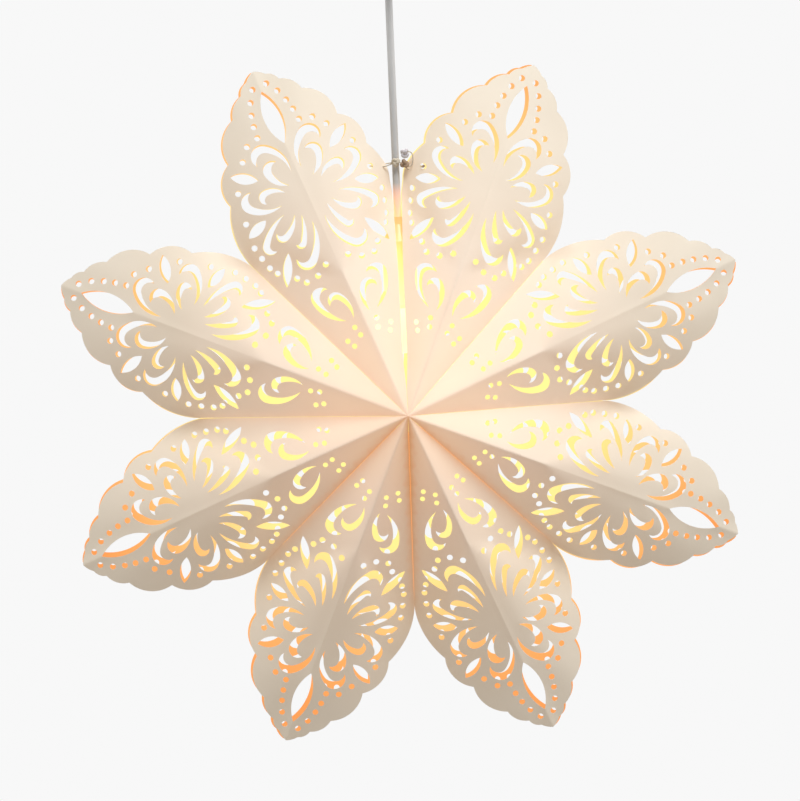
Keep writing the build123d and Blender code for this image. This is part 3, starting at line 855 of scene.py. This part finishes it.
def plain_finish(name, colour, roughness, metallic=0.0, grain=400.0, depth=0.15, lit=False):
    material, nodes, links = new_material(name)
    shader = nodes["Principled BSDF"]
    shader.inputs["Metallic"].default_value = metallic
    coordinates = object_coordinates(nodes)
    clouds = noise_texture(nodes, links, coordinates, 60.0, 4.0)
    darker = tuple(channel * 0.96 for channel in colour)
    links.new(ramp(nodes, links, clouds, [(0.35, darker), (0.65, colour)]), shader.inputs["Base Color"])
    shine = nodes.new("ShaderNodeMapRange")
    shine.inputs["To Min"].default_value = roughness * 0.85
    shine.inputs["To Max"].default_value = min(1.0, roughness * 1.15)
    links.new(noise_texture(nodes, links, coordinates, 150.0), shine.inputs["Value"])
    links.new(shine.outputs["Result"], shader.inputs["Roughness"])
    fine = noise_texture(nodes, links, coordinates, grain)
    links.new(bump(nodes, links, fine, depth, 0.0002), shader.inputs["Normal"])
    if lit:
        lamp_glow(nodes, links, shader)
    return material


def string_finish(name, colour, roughness):
    return plain_finish(name, colour, roughness, grain=2500.0, depth=0.5)


def opal_globe():
    material, nodes, links = new_material("opal_globe")
    shader = nodes["Principled BSDF"]
    shader.inputs["Roughness"].default_value = 0.3
    shader.inputs["Base Color"].default_value = (0.45, 0.42, 0.32, 1.0)
    clouds = noise_texture(nodes, links, object_coordinates(nodes), 25.0)
    glow = ramp(nodes, links, clouds, [(0.3, (1.0, 0.97, 0.60)), (0.7, (1.0, 0.99, 0.68))])
    links.new(glow, shader.inputs["Emission Color"])
    shader.inputs["Emission Strength"].default_value = 0.9
    return material


finishes = {
    "zinc_steel": plain_finish("zinc_steel", (0.62, 0.63, 0.64), 0.35, metallic=1.0),
    "white_plastic": plain_finish("white_plastic", (0.83, 0.83, 0.81), 0.35),
    "holder_ceramic": plain_finish("holder_ceramic", (0.82, 0.80, 0.75), 0.25),
    "brass": plain_finish("brass", (0.72, 0.52, 0.23), 0.3, metallic=1.0),
    "nickel": plain_finish("nickel", (0.68, 0.66, 0.62), 0.22, metallic=1.0),
    "black_insulator": plain_finish("black_insulator", (0.02, 0.02, 0.022), 0.3),
    "bulb_plastic": plain_finish("bulb_plastic", (0.82, 0.82, 0.80), 0.5),
    "opal_globe": opal_globe(),
    "lead_insulation": plain_finish("lead_insulation", (0.25, 0.13, 0.07), 0.5),
    # The cord's sheath carries painted lamp light where it hangs inside the star
    "cord_sheath": plain_finish("cord_sheath", (0.60, 0.59, 0.58), 0.5, lit=True),
    "string": string_finish("string", (0.66, 0.58, 0.46), 0.85),
}
# The holder and the bulb's collar: a lit copy of the white plastic, with a darker brownish base and
# painted lamp light
lit_plastic = plain_finish("lit_plastic", (0.48, 0.38, 0.26), 0.35, lit=True)
for subpart in frame["record"]["subparts"]:
    if subpart["material_slot"] in finishes:
        shown = frame["nodes"][subpart["node"]]
        shown.data.materials.clear()
        shown.data.materials.append(finishes[subpart["material_slot"]])
for holder_part in ("holder_cap", "holder_sleeve", "holder_core", "bulb_collar"):
    frame["nodes"][holder_part].data.materials[0] = lit_plastic


# ---------------------------------------------------------------- cord
def nurbs_curve(name, points, radius):
    data = bpy.data.curves.new(name, "CURVE")
    data.dimensions = "3D"
    data.bevel_depth = radius
    data.bevel_resolution = 6
    data.resolution_u = 12
    data.use_fill_caps = True
    spline = data.splines.new("NURBS")
    spline.points.add(len(points) - 1)
    for target, point in zip(spline.points, points):
        target.co = (*point, 1.0)
    spline.order_u = 3
    spline.use_endpoint_u = True
    curve = bpy.data.objects.new(name, data)
    bpy.context.scene.collection.objects.link(curve)
    return curve


def make_cord():
    top = -gland_pivot
    bottom = cap_top_z - cord_in_cap
    count = 5
    points = [(0, 0, top + (bottom - top) * k / (count - 1)) for k in range(count)]
    cord = nurbs_curve("pendant_cord", points, cord_radius)
    cord.data.materials.append(finishes["cord_sheath"])
    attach(cord, "pendant")
    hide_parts("upper_cord", "lower_cord")


make_cord()


# ---------------------------------------------------------------- tie string
def route_points(points):
    """Evenly spaced points read from the smooth spline through a route."""
    curve = nurbs_curve("route", points, 0.0)
    curve.data.use_fill_caps = False
    mesh = bpy.data.meshes.new_from_object(curve)
    line = np.array([tuple(vertex.co) for vertex in mesh.vertices])
    bpy.data.objects.remove(curve)
    return even_points(line)


def even_points(line):
    run = np.concatenate([[0], np.cumsum(np.linalg.norm(np.diff(line, axis=0), axis=1))])
    count = max(12, round(run[-1] / (string_step * MM)))
    where = np.linspace(0, run[-1], count)
    return np.column_stack([np.interp(where, run, line[:, axis]) for axis in range(3)])


def knot_points(centre, size, tilt):
    """Closed line of a plain overhand knot, a little thicker than it is flat."""
    turns = np.linspace(0, 2 * math.pi, knot_steps + 1)
    x = np.sin(turns) + 2 * np.sin(2 * turns)
    y = -knot_depth * np.sin(3 * turns)
    z = np.cos(turns) - 2 * np.cos(2 * turns)
    line = np.column_stack([x, y, z]) * size / 3 * MM
    turn = np.array(Matrix.Rotation(tilt, 3, "Y") @ Matrix.Rotation(0.5 * tilt, 3, "X"))
    return even_points(line @ turn.T + np.array(centre))[:-1]


def twisted_tube(line, radius, first, closed=False):
    """Corners and faces of a two-ply string along a line."""
    ahead = np.roll(line, -1, axis=0) - np.roll(line, 1, axis=0)
    if not closed:
        ahead[0] = line[1] - line[0]
        ahead[-1] = line[-1] - line[-2]
    ahead /= np.linalg.norm(ahead, axis=1)[:, None]
    any_way = (0.3, 0.5, 0.8)
    across = np.cross(ahead[0], any_way)
    rings = []
    for k, (point, way) in enumerate(zip(line, ahead)):
        across = across - way * (across @ way)
        across /= np.linalg.norm(across)
        up = np.cross(way, across)
        twist = 2 * math.pi * k * string_step / string_pitch
        for side in range(string_sides):
            turn = 2 * math.pi * side / string_sides
            ply = radius * (ply_waist + ply_bulge * abs(math.cos(turn - twist)))
            rings.append(point + (across * math.cos(turn) + up * math.sin(turn)) * ply * MM)
    count = len(line)
    faces = []
    for k in range(count if closed else count - 1):
        start = first + k * string_sides
        end = first + (k + 1) % count * string_sides
        for side in range(string_sides):
            after = (side + 1) % string_sides
            faces.append((start + side, start + after, end + after, end + side))
    if not closed:
        last = first + (count - 1) * string_sides
        faces.append(tuple(range(first, first + string_sides))[::-1])
        faces.append(tuple(range(last, last + string_sides)))
    return rings, faces


def hole_place(index, side, front):
    """Where the tie string goes through the card, on its outside."""
    point = slide(np.array([(tie_hole[0], side * tie_hole[1])]), index)
    depth = sheet_depth(np.array([tie_hole[0]]), np.array([tie_hole[1]])) + string_radius
    return place(point[:, 0], point[:, 1], depth, half_angle * (2 * index + 1), front)[0]


def beside_tie(spots):
    return [np.array([x, y, tie_height + z]) * MM + np.array(star_centre) for x, y, z in spots]


def tie_lines():
    """The string's way through both holes, the loop at its knots, and its end in the right hole."""
    right_front, right_back = (hole_place(seam_right, 1, front) for front in (True, False))
    left_front, left_back = (hole_place(seam_left, -1, front) for front in (True, False))
    left_middle = (left_front + left_back) / 2
    right_middle = (right_front + right_back) / 2
    through = beside_tie(to_left_hole) + [left_middle, left_back] + beside_tie(behind_cord)
    through += [right_back, right_middle] + beside_tie(back_to_knots)
    end = [right_middle, right_front, right_front + np.array(string_end) * MM]
    return [route_points(way) for way in (through, beside_tie(knot_loop), end)]


def make_tie():
    corners, faces, slots = [], [], []
    for line in tie_lines():
        rings, more = twisted_tube(line, string_radius, len(corners))
        corners += rings
        faces += more
        slots += [0] * len(more)
    spots = beside_tie([spot for spot, size, strand in knots])
    spots.append(hole_place(seam_right, 1, True))
    sizes = [(size, strand) for spot, size, strand in knots] + [(end_knot_size, string_radius)]
    # Material of each knot in turn: plain, brown, pale and brown string
    knot_finishes = [0, 1, 2, 1]
    for number, (spot, (size, strand)) in enumerate(zip(spots, sizes)):
        line = knot_points(spot, size, knot_turn * number)
        rings, more = twisted_tube(line, strand, len(corners), closed=True)
        corners += rings
        faces += more
        slots += [knot_finishes[number]] * len(more)
    mesh = bpy.data.meshes.new("tie_cotton")
    mesh.from_pydata([tuple(corner) for corner in corners], [], faces)
    mesh.materials.append(finishes["string"])
    mesh.materials.append(string_finish("string_brown", (0.42, 0.29, 0.20), 0.85))
    mesh.materials.append(string_finish("string_pale", (0.66, 0.62, 0.64), 0.9))
    mesh.polygons.foreach_set("material_index", slots)
    mesh.update()
    mesh.shade_smooth()
    tie = bpy.data.objects.new("tie_cotton", mesh)
    bpy.context.scene.collection.objects.link(tie)
    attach(tie, "star")
    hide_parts("tie_string")


make_tie()


# ---------------------------------------------------------------- stage and light
background = 0.938            # linear value of the photograph's pale ground
sky_colour = (1.0, 0.985, 0.96)
sky_strength = 0.30
lamp_distance = 1.7
lamp_colour = (0.97, 0.985, 1.0)
key_way = Vector((0.20, -0.46, 0.865))
behind_way = Vector((key_way.x, -key_way.y, key_way.z))
key_size = 0.7
key_power = 18.5
side_rise = 0.1
side_size = 0.9
side_power = 8.5
floor_half = 6.0
floor_z = -1.9


def stage_material(name, colour):
    material, nodes, links = new_material(name)
    output = nodes["Material Output"]
    shader = nodes["Principled BSDF"]
    shader.inputs["Base Color"].default_value = (colour, colour, colour, 1.0)
    shader.inputs["Roughness"].default_value = 0.9
    seen = nodes.new("ShaderNodeEmission")
    seen.inputs["Color"].default_value = (background, background, background, 1.0)
    rays = nodes.new("ShaderNodeLightPath")
    mix = nodes.new("ShaderNodeMixShader")
    links.new(rays.outputs["Is Camera Ray"], mix.inputs["Fac"])
    links.new(shader.outputs["BSDF"], mix.inputs[1])
    links.new(seen.outputs["Emission"], mix.inputs[2])
    links.new(mix.outputs["Shader"], output.inputs["Surface"])
    return material


def make_world():
    world = bpy.data.worlds.new("studio")
    bpy.context.scene.world = world
    world.use_nodes = True
    nodes, links = world.node_tree.nodes, world.node_tree.links
    soft = nodes["Background"]
    soft.inputs["Color"].default_value = (*sky_colour, 1.0)
    soft.inputs["Strength"].default_value = sky_strength
    seen = nodes.new("ShaderNodeBackground")
    seen.inputs["Color"].default_value = (background, background, background, 1.0)
    rays = nodes.new("ShaderNodeLightPath")
    either = nodes.new("ShaderNodeMath")
    either.operation = "MAXIMUM"
    links.new(rays.outputs["Is Camera Ray"], either.inputs[0])
    links.new(rays.outputs["Is Glossy Ray"], either.inputs[1])
    mix = nodes.new("ShaderNodeMixShader")
    links.new(either.outputs["Value"], mix.inputs["Fac"])
    links.new(soft.outputs["Background"], mix.inputs[1])
    links.new(seen.outputs["Background"], mix.inputs[2])
    links.new(mix.outputs["Shader"], nodes["World Output"].inputs["Surface"])


def area_light(name, offset, size, power):
    """A round soft lamp at an offset from the star's centre, turned towards it."""
    data = bpy.data.lights.new(name, "AREA")
    data.shape = "DISK"
    data.size = size
    data.energy = power
    data.color = lamp_colour
    light = bpy.data.objects.new(name, data)
    light.location = star_centre + offset
    light.rotation_euler = (-offset).to_track_quat("-Z", "Y").to_euler()
    bpy.context.scene.collection.objects.link(light)


def make_stage():
    sides = ((-1, -1), (1, -1), (1, 1), (-1, 1))
    corners = [(x * floor_half, y * floor_half, floor_z) for x, y in sides]
    mesh = bpy.data.meshes.new("floor")
    mesh.from_pydata(corners, [], [(0, 1, 2, 3)])
    mesh.materials.append(stage_material("floor", 0.8))
    floor = bpy.data.objects.new("floor", mesh)
    bpy.context.scene.collection.objects.link(floor)


make_world()
make_stage()
area_light("key", key_way * lamp_distance, key_size, key_power)
area_light("key_behind", behind_way * lamp_distance, key_size, key_power)
for side in (1, -1):
    area_light("side_fill", Vector((side * lamp_distance, 0, side_rise)), side_size, side_power)
